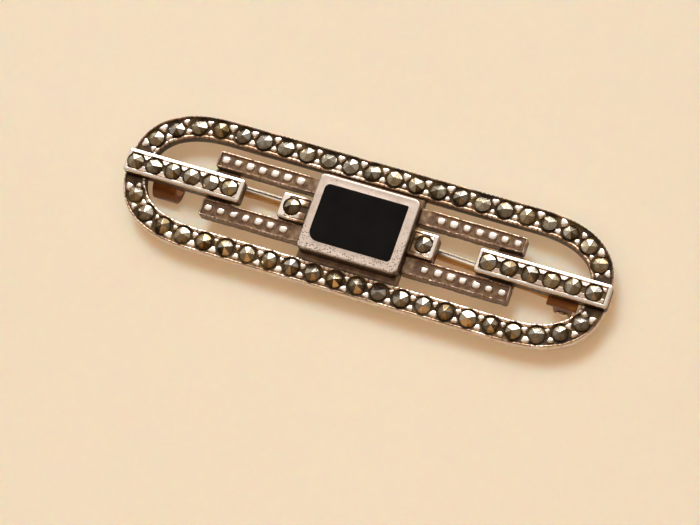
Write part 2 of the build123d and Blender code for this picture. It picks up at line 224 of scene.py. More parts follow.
def marcasite(name):
    """Cut pyrite: grey to brassy metal. Each stone has a tint of its own, some facets have a brown
    film, and dirt lies round the girdle."""
    mat, kit, shader, where = new_material(name)
    grit = kit.noise(where, 0.16, 5.0, 0.65)
    tint = kit.math("ADD", kit.attribute("tint"), kit.swing(grit, 0.5, 0.5), clamp=True)
    grey, olive, brass = (0.46, 0.44, 0.40), (0.58, 0.54, 0.46), (0.66, 0.56, 0.38)
    colour = kit.ramp(tint, [(0.0, grey), (0.5, olive), (1.0, brass)])
    grain = kit.noise(where, 0.34, 4.0, 0.7)
    soil = kit.math("ADD", kit.attribute("facet"), kit.swing(grain, 0.5, 0.9))
    dirt = kit.ramp(kit.attribute("girdle"), [(0.6, 0.0), (1.0, 0.42)])
    soil = kit.math("ADD", soil, dirt, clamp=True)
    film = kit.ramp(soil, [(0.3, 1.0), (0.7, (0.5, 0.42, 0.28)), (1.0, (0.16, 0.12, 0.07))])
    kit.feed(kit.mix(1.0, colour, film, "MULTIPLY"), shader["Base Color"])
    shader["Metallic"].default_value = 1.0
    kit.feed(kit.ramp(grit, [(0.25, 0.12), (0.75, 0.3)]), shader["Roughness"])
    pocks = kit.noise(where, 0.1, 3.0, 0.5)
    kit.feed(kit.bump([(pocks, 0.006), (grain, 0.012)]), shader["Normal"])
    return mat


def onyx_black(name):
    """Polished black onyx with hairline scratches and a faint bloom."""
    mat, kit, shader, where = new_material(name)
    cloud = kit.noise(where, 2.2, 3.0, 0.5)
    colour = kit.ramp(cloud, [(0.2, (0.0035, 0.003, 0.003)), (0.8, (0.008, 0.007, 0.006))])
    kit.feed(colour, shader["Base Color"])
    scratches = kit.noise(where, 0.05, 3.0, 0.6, stretch=(1.0, 0.06, 1.0))
    kit.feed(kit.ramp(scratches, [(0.3, 0.1), (0.8, 0.2)]), shader["Roughness"])
    shader["Specular IOR Level"].default_value = 0.05
    kit.feed(kit.bump([(scratches, 0.0006), (cloud, 0.004)]), shader["Normal"])
    return mat


BRIGHT = (0.92, 0.82, 0.72)
ROSE = (0.44, 0.29, 0.195)
OLIVE = (0.115, 0.070, 0.022)
OXIDISED = silver("oxidised_silver", BRIGHT, ROSE, (0.034, 0.019, 0.010), OLIVE, (0.22, 0.5), 0.22)
RUBBED = silver(
    "rubbed_silver", BRIGHT, (0.40, 0.265, 0.185), (0.085, 0.046, 0.027), (0.14, 0.085, 0.035),
    rough=(0.24, 0.46), patch=0.25,
)
POLISHED = silver(
    "polished_silver", (0.90, 0.80, 0.71), ROSE, (0.045, 0.026, 0.013), OLIVE,
    rough=(0.22, 0.48), patch=0.22,
)
# The findings' orange-brown tones are partly tarnish and partly painted shade under the frame, with a painted
# reflection of the warm floor.
FINDINGS = silver(
    "findings_silver", (0.90, 0.80, 0.66), (0.50, 0.25, 0.08), (0.13, 0.038, 0.004), (0.19, 0.066, 0.008),
    rough=(0.22, 0.42), patch=0.16,
)
# The wire's golden-brown tones are partly tarnish and partly a painted reflection of the warm, shaded floor
# below it.
WIRE = silver(
    "wire_silver", (0.98, 0.92, 0.82), (0.76, 0.47, 0.22), (0.46, 0.21, 0.06), (0.52, 0.25, 0.07),
    rough=(0.3, 0.5), patch=0.12,
)
BEZEL = bezel_silver("bezel_silver")
MARCASITE = marcasite("marcasite")
ONYX = onyx_black("onyx")


# ------------ mesh helpers
def make_piece(name, verts, faces, material, body="brooch", replaced=(), values=None, sharp=35.0):
    """A piece of the object from millimetre points; values are named numbers per point."""
    me = bpy.data.meshes.new(name)
    me.from_pydata((np.asarray(verts, float) * MM).tolist(), [], [list(map(int, f)) for f in faces])
    me.validate()
    for key, numbers in (values or {}).items():
        layer = me.attributes.new(key, "FLOAT", "POINT")
        layer.data.foreach_set("value", np.asarray(numbers, np.float32))
    fixer = bmesh.new()
    fixer.from_mesh(me)
    bmesh.ops.recalc_face_normals(fixer, faces=fixer.faces)
    fixer.to_mesh(me)
    fixer.free()
    me.polygons.foreach_set("use_smooth", [True] * len(me.polygons))
    me.set_sharp_from_angle(angle=math.radians(sharp))
    me.materials.append(material)
    piece = bpy.data.objects.new(name, me)
    bpy.context.scene.collection.objects.link(piece)
    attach(piece, body)
    if replaced:
        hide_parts(*replaced)
    return piece


def grid_faces(rows, columns, close_rows=False, close_columns=False, start=0):
    """Quads over a grid of points laid row by row."""
    r = np.arange(rows if close_rows else rows - 1)
    c = np.arange(columns if close_columns else columns - 1)
    rr, cc = np.meshgrid(r, c, indexing="ij")
    r2, c2 = (rr + 1) % rows, (cc + 1) % columns
    quads = np.stack([rr * columns + cc, r2 * columns + cc, r2 * columns + c2, rr * columns + c2], -1)
    return (quads.reshape(-1, 4) + start).tolist()


def smooth_step(x, low, high):
    t = np.clip((x - low) / (high - low), 0.0, 1.0)
    return t * t * (3 - 2 * t)


def wobble(x, seed, amount, wavelength):
    """A slow random wave, so that hand-made edges aren't ruled lines."""
    local = random.Random(seed)
    total = np.zeros_like(x)
    for k in range(1, 6):
        strength = local.uniform(0.4, 1.0) / k
        total += strength * np.sin(x * 2 * math.pi * k / wavelength + local.uniform(0, 6.28))
    return amount * total


def rounded_sdf(x, y, half_x, half_y, radius):
    """Distance inside a rounded rectangle's edge (positive inside)."""
    qx = np.abs(x) - (half_x - radius)
    qy = np.abs(y) - (half_y - radius)
    outside = np.hypot(np.maximum(qx, 0), np.maximum(qy, 0))
    inside = np.minimum(np.maximum(qx, qy), 0)
    return radius - outside - inside


# ------------ the frame's loop
def end_point(reach, half_width, angle):
    """A point on one end's superellipse; angle 0 is its tip."""
    power = 2 / FULLNESS
    c = np.maximum(np.cos(angle), 0.0)
    s = np.sin(angle)
    return STRAIGHT_HALF + reach * c**power, half_width * np.sign(s) * np.abs(s) ** power


def loop_edge(reach, half_width):
    """One edge of the frame, all the way round."""
    end_x, end_y = end_point(reach, half_width, np.linspace(-math.pi / 2, math.pi / 2, 1441))
    run = np.linspace(-STRAIGHT_HALF, STRAIGHT_HALF, 401)[1:-1]
    side = np.full_like(run, half_width)
    quarters = [(end_x, end_y), (-run, side), (-end_x, -end_y), (run, -side)]
    return np.concatenate([np.column_stack(xy) for xy in quarters])


def run_length(points):
    """Distance along a line of points, from its first one."""
    return np.concatenate([[0.0], np.cumsum(np.linalg.norm(np.diff(points, axis=0), axis=1))])


def loop_tables(step):
    """Matched outer and inner edge points round the whole loop, evenly spaced along its middle."""
    edges = [loop_edge(OUTER_REACH, OUTER_HALF_WIDTH), loop_edge(INNER_REACH, INNER_HALF_WIDTH)]
    middle = (edges[0] + edges[1]) / 2
    length = run_length(np.concatenate([middle, middle[:1]]))
    count = int(round(length[-1] / step))
    wanted = np.arange(count) * length[-1] / count
    closed = [np.concatenate([edge, edge[:1]]) for edge in edges]
    return [np.column_stack([np.interp(wanted, length, edge[:, k]) for k in (0, 1)]) for edge in closed]


def stone_points(node, count):
    """Stone centres of a CAD node, found as the clusters of its points in plan."""
    co = np.array([v.co for v in frame["nodes"][node].data.vertices], float) / MM
    tops = co[co[:, 2] > co[:, 2].max() - 0.03]
    found = []
    for p in tops:
        near = next((c for c in found if math.dist(c[0], p[:2]) < STONE_R), None)
        if near is None:
            found.append([p[:2].copy(), 1])
        else:
            near[0] = (near[0] * near[1] + p[:2]) / (near[1] + 1)
            near[1] += 1
    points = [tuple(c[0]) for c in found]
    if len(points) != count:
        raise ValueError(f"{node} gave {len(points)} stones, not {count}")
    return points


UPPER = sorted(stone_points("upper_frame_marcasites", 22))
LOWER = sorted(stone_points("lower_frame_marcasites", 22))
BAR_STONES = {side: sorted(stone_points(f"{side}_bar_marcasites", 6)) for side in ("left", "right")}
PLATE_STONES = {side: stone_points(f"{side}_plate_marcasite", 1) for side in ("left", "right")}


def seat_distance(x, y, stones):
    """Distance from each point to the nearest stone centre."""
    best = np.full(np.shape(x), 9.0)
    for sx, sy in stones:
        best = np.minimum(best, np.hypot(x - sx, y - sy))
    return best


# ------------ frame rail
TICKS = 1024  # cuts in a bead line before their depths repeat
RAIL_STEP = 0.06  # from one cross-section of the rail to the next
RAIL_COLUMNS = 40  # points across its top
BAR_SEAT = 0.6  # its height where an end bar crosses it
OUTER_CUTS, INNER_CUTS = (0.4, 0.085), (0.46, 0.07)  # each bead line's pitch, and its cuts' width
OUTER_BEAD, INNER_BEAD = (0.08, 0.12), (0.16, 0.19)  # its middle, in from the edge, and half width


def dashes(length, pitch, cut, seed):
    """1 along a bead line, dipping towards 0 in the narrow cuts between worn beads."""
    shift = wobble(length, seed, 0.12, 31.0)
    phase = np.mod(length / pitch + shift, 1.0) * pitch
    gap = np.minimum(phase, pitch - phase)
    which = np.round(length / pitch + shift).astype(int) % TICKS
    depth = np.random.default_rng(seed).uniform(0.25, 1.0, TICKS)[which]
    return 1.0 - depth * np.exp(-((gap / cut) ** 2))


def half_round(distance, middle, half):
    """A bead line's section: 1 at its middle, and 0 beyond its sides."""
    return np.sqrt(np.clip(1 - ((distance - middle) / half) ** 2, 0, 1))


def rail_top(outer, inner):
    """The rail's top, from its outer edge to its inner one: its points and their tarnish, with painted light
    towards the lower side.
    """
    width = np.linalg.norm(outer - inner, axis=1)[:, None]
    outer_run, inner_run = run_length(outer), run_length(inner)
    bead_out = dashes(outer_run, *OUTER_CUTS, 3)[:, None]
    bead_in = dashes(inner_run, *INNER_CUTS, 4)[:, None]
    pull_out = 0.075 * (1 - bead_out) / width
    pull_in = 0.05 * (1 - bead_in) / width
    across = pull_out + (1 - pull_out - pull_in) * np.linspace(0.0, 1.0, RAIL_COLUMNS)[None, :]
    x = outer[:, 0, None] * (1 - across) + inner[:, 0, None] * across
    y = outer[:, 1, None] * (1 - across) + inner[:, 1, None] * across
    from_outer, from_inner = across * width, (1 - across) * width
    floor = RAIL_HEIGHT - CHANNEL
    z = floor + 0.02 * np.sin(x * 5.1 + 1.3) * np.sin(y * 4.3 + x * 1.7)
    # a narrow bead line at the outer edge, and a broader one at the inner edge
    lip = half_round(from_outer, *OUTER_BEAD)
    z = np.maximum(z, floor + (CHANNEL - 0.03) * lip * (0.72 + 0.28 * bead_out))
    bead = half_round(from_inner, *INNER_BEAD)
    z = np.maximum(z, floor - 0.02 + (CHANNEL + 0.01) * bead * (0.78 + 0.22 * bead_in))
    # the beads give way to each stone, which stands in a ring cut into the bed
    d = seat_distance(x, y, UPPER + LOWER)
    z = np.where(d < 0.92, np.minimum(z, floor + 0.12 * smooth_step(d, 0.78, 0.92)), z)
    z = z - 0.1 * np.exp(-(((d - 0.82) / 0.09) ** 2)) - 0.15 * (d < 0.72)
    beside_bar = smooth_step(np.abs(y), 1.1, 1.16)
    z = np.where(np.abs(x) > STRAIGHT_HALF, BAR_SEAT + (z - BAR_SEAT) * beside_bar, z)
    z = np.clip(z, 0.3, RAIL_HEIGHT)
    # the bead lines are rubbed bright in stretches, and are painted lighter towards the frame's lower side as
    # painted light
    side_out = np.clip(outer[:, 1] / OUTER_HALF_WIDTH, -1, 1)
    rub_and_light_out = np.clip(0.38 - 0.2 * side_out + wobble(outer_run, 21, 0.26, 9.0), 0.05, 0.85)[:, None]
    side_in = np.clip(inner[:, 1] / INNER_HALF_WIDTH, -1, 1)
    rub_and_light_in = np.clip(0.74 - 0.14 * side_in + wobble(inner_run, 22, 0.16, 17.0), 0.4, 0.95)[:, None]
    outer_tone = 0.97 - rub_and_light_out * np.clip(lip * 1.6, 0, 1) * (0.35 + 0.65 * bead_out)
    inner_tone = 0.97 - rub_and_light_in * np.clip(bead * 1.6, 0, 1) * (0.3 + 0.7 * bead_in)
    tarnish_and_shading = np.minimum(outer_tone, inner_tone)
    seat_tone = 0.95 - 0.3 * smooth_step(d, 0.85, 0.95)
    return x, y, z, np.where(d < 0.95, np.maximum(tarnish_and_shading, seat_tone), tarnish_and_shading)


def rail_lines(outer, inner, fraction, levels, tone):
    """Lines of points round the rail's sides and back. The fraction is 0 at its outer edge and 1
    at its inner one, and each level is a height and an inset."""
    edge = outer * (1 - fraction) + inner * fraction
    lines = []
    for level, inset in levels:
        x, y = (edge + (inner - outer) * ((0.5 - fraction) * 2 * inset)).T
        under_bar = (np.abs(y) < 1.13) & (np.abs(x) > STRAIGHT_HALF)
        z = np.where(under_bar, np.minimum(level, BAR_SEAT - 0.05), level)
        lines.append((x[:, None], y[:, None], z[:, None], np.full((len(x), 1), tone)))
    return lines


def build_frame_rail():
    outer, inner = loop_tables(RAIL_STEP)
    side = [(0.95, 0.004), (0.7, 0.0), (0.4, 0.0), (0.12, 0.0), (0.03, 0.02)]
    lines = [rail_top(outer, inner)]
    # the inner walls are made dark as painted shade, and the outer wall light as painted light from the floor
    # in front
    lines += rail_lines(outer, inner, 1.0, side, 0.92)
    lines += rail_lines(outer, inner, 1.0, [(0.0, 0.05)], 0.7)
    for fraction in (0.8, 0.6, 0.4, 0.2):
        lines += rail_lines(outer, inner, fraction, [(0.0, 0.0)], 0.62)
    lines += rail_lines(outer, inner, 0.0, [(0.0, 0.05)] + side[::-1], 0.28)
    x, y, z, tarnish_and_shading = (np.concatenate(parts, 1) for parts in zip(*lines))
    verts = np.stack([x, y, z + BACK_Z], -1).reshape(-1, 3)
    make_piece(
        "frame_rail_silver", verts, grid_faces(len(outer), x.shape[1], True, True), OXIDISED,
        replaced=["frame_rail"], values={"tarnish_and_shading": tarnish_and_shading.reshape(-1)}, sharp=50.0,
    )


build_frame_rail()


# ------------ grains
GRAIN_SIDES = 14
GRAIN_SKIRT = 0.15
# the rings above a grain's skirt: their size, height and tarnish
GRAIN_RINGS = [(1.0, 0.0, 0.6), (0.95, 0.38, 0.12), (0.82, 0.68, 0.0), (0.58, 0.9, 0.0), (0.3, 0.98, 0.0)]


def grain_points(cx, cy, z0, r_along, r_across, height, turn, lobe, lobe_turn):
    """A small rounded nugget: rings from a skirt below z0 up to a flattened top."""
    points = []
    for scale, up in [(1.0, -GRAIN_SKIRT)] + [(size, share * height) for size, share, _ in GRAIN_RINGS]:
        for k in range(GRAIN_SIDES):
            phi = 2 * math.pi * k / GRAIN_SIDES
            r = scale * (1 + lobe * math.cos(3 * (phi - lobe_turn)))
            u, v = r * r_along * math.cos(phi), r * r_across * math.sin(phi)
            x = cx + u * math.cos(turn) - v * math.sin(turn)
            y = cy + u * math.sin(turn) + v * math.cos(turn)
            points.append((x, y, z0 + up))
    points.append((cx, cy, z0 + height))
    return points


def nugget_mesh(specs):
    """Vertices, faces and tarnish of many grains in one mesh."""
    verts, faces, tarnish_and_shading = [], [], []
    tones = [0.95] + [tone for _, _, tone in GRAIN_RINGS]
    after = [(k + 1) % GRAIN_SIDES for k in range(GRAIN_SIDES)]
    for spec in specs:
        start = len(verts)
        verts += grain_points(*spec)
        for ring in range(len(GRAIN_RINGS)):
            low = start + ring * GRAIN_SIDES
            high = low + GRAIN_SIDES
            faces += [(low + k, low + n, high + n, high + k) for k, n in enumerate(after)]
        faces += [(high + k, high + n, high + GRAIN_SIDES) for k, n in enumerate(after)]
        faces.append(tuple(start + k for k in reversed(range(GRAIN_SIDES))))
        tarnish_and_shading += [tone for tone in tones for _ in range(GRAIN_SIDES)] + [0.0]
    return verts, faces, tarnish_and_shading


def build_frame_grains(name, stones):
    """Two raised grains in each gap between the frame's stones, one by each bead line."""
    outer, inner = loop_tables(0.05)
    middle = (outer + inner) / 2
    specs = []
    beside_bar = 1.3 if stones[0][1] > 0 else -1.3
    ends = [(-22.0, beside_bar), (22.0, beside_bar)]
    spans = list(zip(stones, stones[1:])) + [(stones[0], ends[0]), (stones[-1], ends[1])]
    for (ax, ay), (bx, by) in spans:
        k = int(np.argmin(np.hypot(middle[:, 0] - (ax + bx) / 2, middle[:, 1] - (ay + by) / 2)))
        cx, cy = middle[k]
        out = (outer[k] - inner[k]) / np.linalg.norm(outer[k] - inner[k])
        turn = math.atan2(out[1], out[0]) - math.pi / 2
        for sign, reach, along, across in ((1, 0.5, 0.4, 0.34), (-1, 0.42, 0.31, 0.27)):
            size = rng.uniform(0.82, 1.12)
            gx = cx + out[0] * reach * sign + rng.uniform(-0.05, 0.05)
            gy = cy + out[1] * reach * sign + rng.uniform(-0.04, 0.04)
            height = rng.uniform(0.19, 0.225)
            twist = turn + rng.uniform(-0.25, 0.25)
            lobe = rng.uniform(0.1, 0.2)
            place, sizes = (gx, gy, FRAME_FLOOR - 0.03), (along * size, across * size, height)
            specs.append((*place, *sizes, twist, lobe, -sign * math.pi / 2))
    verts, faces, tarnish_and_shading = nugget_mesh(specs)
    verts = [(x, y, min(z, RAIL_HIGH[2])) for x, y, z in verts]
    values = {"tarnish_and_shading": tarnish_and_shading}
    make_piece(name, verts, faces, OXIDISED, values=values, sharp=80.0)


build_frame_grains("upper_frame_grains", UPPER)
build_frame_grains("lower_frame_grains", LOWER)


# ------------ marcasites
FACETS, FACET_TURN = 6, math.pi / 3
RIM_POINTS = 6  # along one facet's share of the girdle


def stone_mesh(cx, cy, seat_z, girdle_z, apex_z, lean):
    """One stone: a round girdle and six true planes that meet near its middle. Each plane is a fan
    from the apex to the rim, over its own share of the wall and the foot."""
    start_turn = rng.uniform(0, FACET_TURN)
    radius = STONE_R * rng.uniform(0.92, 0.995)
    ax, ay = rng.uniform(-0.08, 0.08), rng.uniform(-0.08, 0.08)
    slope = math.atan((apex_z - girdle_z) / radius)
    normals = []
    for k in range(FACETS):
        phi = start_turn + k * math.pi / 3 + rng.uniform(-0.09, 0.09)
        tilt = slope + rng.uniform(-0.05, 0.06)
        normal = Vector((math.sin(tilt) * math.cos(phi), math.sin(tilt) * math.sin(phi), math.cos(tilt)))
        normals.append((normal + Vector((lean[0], lean[1], 0))).normalized())
    corners = []
    for k in range(FACETS):
        edge = normals[k].cross(normals[(k + 1) % FACETS])
        if edge.z > 0:
            edge.negate()
        corners.append(math.atan2(edge.y, edge.x))
    verts, faces = [], []
    apex = Vector((ax, ay, 0.0))
    fans = []
    for k in range(FACETS):
        low, high = corners[k - 1], corners[k]
        while high < low:
            high += 2 * math.pi
        fan = []
        for j in range(RIM_POINTS):
            direction = low + (high - low) * j / (RIM_POINTS - 1)
            ux, uy = math.cos(direction), math.sin(direction)
            dot = ax * ux + ay * uy
            reach = -dot + math.sqrt(dot * dot + radius**2 - ax * ax - ay * ay)
            n = normals[k]
            drop = -(n.x * ux * reach + n.y * uy * reach) / n.z
            fan.append((ax + ux * reach, ay + uy * reach, drop))
        fans.append(fan)
    lowest = apex_z + min(p[2] for fan in fans for p in fan)
    base = min(lowest - 0.04, girdle_z - 0.02)
    for fan in fans:
        start = len(verts)
        rim, wall, foot = (start + 1 + RIM_POINTS * row for row in range(3))
        verts.append((cx + apex.x, cy + apex.y, apex_z))
        verts += [(cx + px, cy + py, apex_z + pz) for px, py, pz in fan]
        verts += [(cx + px, cy + py, base) for px, py, _ in fan]
        verts += [(cx + px * 0.98, cy + py * 0.98, seat_z) for px, py, _ in fan]
        verts.append((cx, cy, seat_z))
        for j in range(RIM_POINTS - 1):
            faces.append((start, rim + j, rim + j + 1))
            faces.append((rim + j, wall + j, wall + j + 1, rim + j + 1))
            faces.append((wall + j, foot + j, foot + j + 1, wall + j + 1))
        faces.append(tuple(range(foot, foot + RIM_POINTS + 1)))
    return verts, faces


def soften_facets(piece):
    """Joins each stone's facets at their edges, and wears those edges a little."""
    bm = bmesh.new()
    bm.from_mesh(piece.data)
    bmesh.ops.remove_doubles(bm, verts=bm.verts, dist=0.002 * MM)
    bmesh.ops.recalc_face_normals(bm, faces=bm.faces)
    edges = []
    for edge in bm.edges:
        faces = edge.link_faces
        if len(faces) == 2 and edge.calc_face_angle(0) > 0.15 and all(f.normal.z > 0.2 for f in faces):
            edges.append(edge)
    bmesh.ops.bevel(bm, geom=edges, offset=0.012 * MM, segments=1, affect="EDGES", clamp_overlap=True)
    bm.to_mesh(piece.data)
    bm.free()
    piece.data.polygons.foreach_set("use_smooth", [False] * len(piece.data.polygons))


def soil_facets(piece, stones):
    """Gives each facet a value of its own for the brown film, round its stone's own value."""
    soiled = {}
    values = []
    for face in piece.data.polygons:
        x, y = face.center.x / MM, face.center.y / MM
        stone = min(range(len(stones)), key=lambda i: (stones[i][0] - x) ** 2 + (stones[i][1] - y) ** 2)
        facing = round(math.atan2(face.normal.y, face.normal.x) * 3)
        if stone not in soiled:
            soiled[stone] = rng.choice((0.05, 0.15, 0.2, 0.3, 0.45))
        if (stone, facing) not in soiled:
            soiled[stone, facing] = rng.uniform(-0.1, 0.15) + 0.45 * (rng.random() < 0.14)
        values.append(min(1.0, max(0.0, soiled[stone] + soiled[stone, facing])))
    layer = piece.data.attributes.new("facet", "FLOAT", "FACE")
    layer.data.foreach_set("value", values)


def build_stones(name, node, stones, floor):
    """All the stones of one CAD node in one mesh, each with its own lean, tint and soiling."""
    verts, faces, tints, girdle = [], [], [], []
    girdle_z = floor + GIRDLE
    for x, y in stones:
        lean = (rng.uniform(-0.07, 0.07), 0.014 * y + rng.uniform(-0.08, 0.08))
        stone_verts, stone_faces = stone_mesh(x, y, floor - 0.28, girdle_z, girdle_z + CROWN - 0.015, lean)
        start = len(verts)
        verts += stone_verts
        faces += [tuple(start + i for i in face) for face in stone_faces]
        tints += [rng.uniform(0.1, 0.9)] * len(stone_verts)
        girdle += [min(1.0, math.hypot(p[0] - x, p[1] - y) / STONE_R) for p in stone_verts]
    values = {"tint": tints, "girdle": girdle}
    piece = make_piece(name, verts, faces, MARCASITE, replaced=[node], values=values)
    soften_facets(piece)
    soil_facets(piece, stones)


build_stones("upper_frame_stones", "upper_frame_marcasites", UPPER, FRAME_FLOOR)
build_stones("lower_frame_stones", "lower_frame_marcasites", LOWER, FRAME_FLOOR)
for side in ("left", "right"):
    bar_top = box_mm(f"{side}_end_bar")[1][2]
    build_stones(f"{side}_bar_stones", f"{side}_bar_marcasites", BAR_STONES[side], bar_top - CHANNEL)
    plate_top = box_mm(f"{side}_stone_plate")[1][2]
    build_stones(f"{side}_plate_stone", f"{side}_plate_marcasite", PLATE_STONES[side], plate_top - CHANNEL)


# ------------ boxes with a modelled top
WALL_RINGS = ((0.12, 0.0), (0.4, 0.0), (0.7, 0.0), (0.93, 0.0), (1.0, 0.04))  # depth share, inset


def relief_box(
    node, relief, material,
    step=0.045, corner=0.28, edge=0.07, drop=0.07, wall_tone=0.5, rough=0.015,
):
    """A box the size of a CAD node. relief(x, y, e, top) gives the top's height and its tarnish and painted
    shading, where e is the distance in from the box's edge. The edge is worn down by drop over its width,
    and rough is how far the long sides waver. The walls take wall_tone, as tarnish with painted shade."""
    low, high = box_mm(node)
    cx, cy = (low[0] + high[0]) / 2, (low[1] + high[1]) / 2
    hx, hy = (high[0] - low[0]) / 2, (high[1] - low[1]) / 2
    nx, ny = max(8, int(2 * hx / step)) + 1, max(8, int(2 * hy / step)) + 1
    gx, gy = np.meshgrid(np.linspace(-hx, hx, nx), np.linspace(-hy, hy, ny), indexing="ij")
    # the grid's square corners are drawn in to round ones
    u = np.maximum(np.abs(gx) - (hx - corner), 0) / corner
    v = np.maximum(np.abs(gy) - (hy - corner), 0) / corner
    both = (u > 0) & (v > 0)
    ux = np.where(both, u * np.sqrt(1 - v * v / 2), u)
    vy = np.where(both, v * np.sqrt(1 - u * u / 2), v)
    x = np.sign(gx) * (np.minimum(np.abs(gx), hx - corner) + ux * corner)
    y = np.sign(gy) * (np.minimum(np.abs(gy), hy - corner) + vy * corner)
    e = np.maximum(rounded_sdf(x, y, hx, hy, corner), 0.0)
    uneven = wobble(x, int(hx * 100), 0.22, 5.3) + wobble(x, int(hx * 100) + 1, 0.2, 1.1)
    y = y * (1 - rough * np.clip(0.5 + uneven, 0, 1) / hy)
    z, tarnish_and_shading = relief(x + cx, y + cy, e, high[2])
    z = z - drop * np.clip((edge - e) / edge, 0, 1) ** 1.6 - 0.05 * np.clip(1 - e / 0.05, 0, 1) ** 2
    z = np.clip(z, low[2] + 0.1, high[2])
    top = np.stack([x + cx, y + cy, z], -1).reshape(-1, 3)
    index = np.arange(nx * ny).reshape(nx, ny)
    border = np.concatenate([index[:, 0], index[-1, 1:], index[-2::-1, -1], index[0, -2:0:-1]])
    after = np.roll(np.arange(len(border)), -1)
    verts = [top]
    tones = [tarnish_and_shading.reshape(-1)]
    faces = grid_faces(nx, ny)
    above = border
    total = len(top)
    for fraction, inset in WALL_RINGS:
        ring = top[border].copy()
        away = ring[:, :2] - np.array([cx, cy])
        ring[:, :2] -= np.sign(away) * (np.abs(away) > np.array([hx - corner, hy - corner])) * inset
        ring[:, 2] -= (ring[:, 2] - low[2]) * fraction
        below = np.arange(total, total + len(border))
        faces += np.column_stack([above, above[after], below[after], below]).tolist()
        verts.append(ring)
        # the walls are darkened as tarnish and painted shade, and their lower part more, as painted shade
        tones.append(np.full(len(border), wall_tone + 0.2 * (fraction > 0.6)))
        total += len(border)
        above = below
    faces.append(above[::-1].tolist())
    make_piece(
        f"{node}_silver", np.concatenate(verts), faces, material,
        replaced=[node], values={"tarnish_and_shading": np.concatenate(tones)}, sharp=40.0,
    )


def stone_setting(stones, low, high, rim, end_rims, spandrel_shine=1.0, fade=None):
    """A plain polished rim round a sunk row of stones, with curved triangles between them. The
    shine fades towards the line x = fade."""

    def relief(x, y, e, top):
        floor = top - CHANNEL
        d = seat_distance(x, y, stones)
        edge_wave = wobble(x, 11, 0.02, 7.0)
        z = np.full_like(x, floor - 0.02)
        left_rim = smooth_step(low[0] + end_rims[0] - x, -0.06, 0.05)
        right_rim = smooth_step(x - (high[0] - end_rims[1]), -0.06, 0.05)
        plain = np.maximum(smooth_step(rim + edge_wave - e, -0.06, 0.05), np.maximum(left_rim, right_rim))
        sy = np.abs(y - np.mean([p[1] for p in stones]))
        inside = np.clip((e - rim) / 0.09, 0, 1)
        room = np.minimum.reduce([(d - 0.79) / 0.08, (sy - 0.24) / 0.12, (e - rim + 0.02) / 0.05])
        spandrel = smooth_step(room, 0.0, 1.0)
        rise = 0.6 + 0.4 * np.clip((e - rim) / 0.42, 0, 1)
        z = np.maximum(z, floor - 0.02 + CHANNEL * spandrel * rise * inside)
        z = np.maximum(z, floor + CHANNEL * plain)
        seat = smooth_step(d, 0.73, 0.78)
        z = np.where(d < 0.78, floor - 0.1 + (z - floor + 0.1) * seat, z)
        groove = np.exp(-(((e - rim - 0.02) / 0.05) ** 2)) * (plain < 0.6)
        shine = np.maximum(plain, spandrel * spandrel_shine * (1 - 0.6 * groove))
        if fade is not None:
            shine = shine * (0.25 + 0.75 * smooth_step(np.abs(x - fade), 0.5, 1.1))
        tarnish_and_shading = 0.97 * (1 - shine)
        tarnish_and_shading = np.where(d < 0.8, np.maximum(tarnish_and_shading, 0.95 * (1 - smooth_step(d, 0.76, 0.8))), tarnish_and_shading)
        return z, tarnish_and_shading

    return relief


for side in ("left", "right"):
    left = side == "left"
    node = f"{side}_end_bar"
    ends = (0.3, 0.42 if left else 0.36)
    setting = stone_setting(BAR_STONES[side], *box_mm(node), 0.34, ends, 1.0 if left else 0.72)
    relief_box(
        node, setting, POLISHED, edge=0.36, drop=0.08, wall_tone=0.8, step=0.036,
    )
    node = f"{side}_stone_plate"
    low, high = box_mm(node)
    ends = (0.72, 0.0) if left else (0.0, 0.42)
    setting = stone_setting(PLATE_STONES[side], low, high, 0.22, ends, fade=high[0] if left else low[0])
    relief_box(
        node, setting, POLISHED, edge=0.26, drop=0.07, wall_tone=0.7, corner=0.25,
    )


# ------------ beaded bars
BEADS, FIRST_BEAD, BEAD_PITCH = 7, 0.72, 1.18  # counted from the bar's free end


